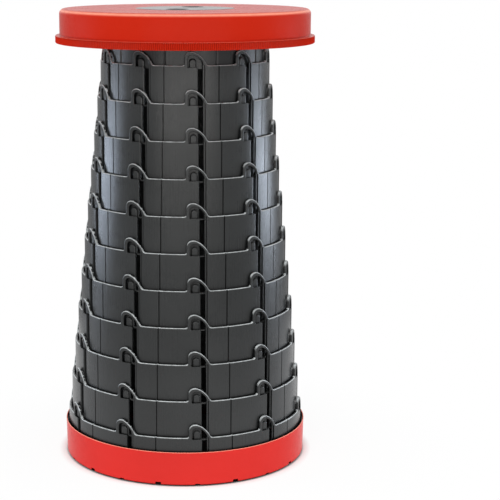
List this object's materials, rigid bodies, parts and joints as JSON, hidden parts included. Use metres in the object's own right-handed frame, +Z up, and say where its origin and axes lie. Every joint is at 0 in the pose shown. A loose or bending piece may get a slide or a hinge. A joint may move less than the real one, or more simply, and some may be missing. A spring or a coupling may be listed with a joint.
{
  "type": "telescoping stool",
  "caption": "Round-seated telescoping plastic stool: nested hooked tiers slide down into a shallow ring base, so it packs into a flat drum.",
  "frame": {"origin": "centre of the footprint, on the floor under the foot pads", "axes": "+Z up along the column, -Y towards the side that the picture shows"},
  "size_m": [0.25, 0.25, 0.4409],
  "materials": {
    "red_plastic": "moulded satin red",
    "grey_plastic": "fine-grained charcoal grey",
    "black_plastic": "matt black",
    "rubber": "matt black rubber",
    "steel": "zinc-plated"
  },
  "bodies": {
    "base": {"base_shell": "red_plastic", "tier_12": "grey_plastic", "foot_pad_1": "rubber", "foot_pad_2": "rubber", "foot_pad_3": "rubber", "foot_pad_4": "rubber", "foot_pad_5": "rubber"},
    "stage_11": {"tier_11": "grey_plastic"},
    "stage_10": {"tier_10": "grey_plastic"},
    "stage_09": {"tier_09": "grey_plastic"},
    "stage_08": {"tier_08": "grey_plastic"},
    "stage_07": {"tier_07": "grey_plastic"},
    "stage_06": {"tier_06": "grey_plastic"},
    "stage_05": {"tier_05": "grey_plastic"},
    "stage_04": {"tier_04": "grey_plastic"},
    "stage_03": {"tier_03": "grey_plastic"},
    "stage_02": {"tier_02": "grey_plastic"},
    "seat": {"seat_cap": "red_plastic", "centre_disc": "black_plastic", "tier_01": "grey_plastic", "seat_screw_1": "steel", "seat_screw_2": "steel", "seat_screw_3": "steel", "seat_screw_4": "steel"}
  },
  "joints": [
    {"name": "stage_11_slide", "type": "slide", "parent": "base", "child": "stage_11", "axis": [0, 0, -1], "range_m": [0, 0.0345]},
    {"name": "stage_10_slide", "type": "slide", "parent": "stage_11", "child": "stage_10", "axis": [0, 0, -1], "range_m": [0, 0.0345]},
    {"name": "stage_09_slide", "type": "slide", "parent": "stage_10", "child": "stage_09", "axis": [0, 0, -1], "range_m": [0, 0.0345]},
    {"name": "stage_08_slide", "type": "slide", "parent": "stage_09", "child": "stage_08", "axis": [0, 0, -1], "range_m": [0, 0.0345]},
    {"name": "stage_07_slide", "type": "slide", "parent": "stage_08", "child": "stage_07", "axis": [0, 0, -1], "range_m": [0, 0.0345]},
    {"name": "stage_06_slide", "type": "slide", "parent": "stage_07", "child": "stage_06", "axis": [0, 0, -1], "range_m": [0, 0.0345]},
    {"name": "stage_05_slide", "type": "slide", "parent": "stage_06", "child": "stage_05", "axis": [0, 0, -1], "range_m": [0, 0.0345]},
    {"name": "stage_04_slide", "type": "slide", "parent": "stage_05", "child": "stage_04", "axis": [0, 0, -1], "range_m": [0, 0.0345]},
    {"name": "stage_03_slide", "type": "slide", "parent": "stage_04", "child": "stage_03", "axis": [0, 0, -1], "range_m": [0, 0.0345]},
    {"name": "stage_02_slide", "type": "slide", "parent": "stage_03", "child": "stage_02", "axis": [0, 0, -1], "range_m": [0, 0.0345]},
    {"name": "seat_slide", "type": "slide", "parent": "stage_02", "child": "seat", "axis": [0, 0, -1], "range_m": [0, 0.0297]}
  ]
}
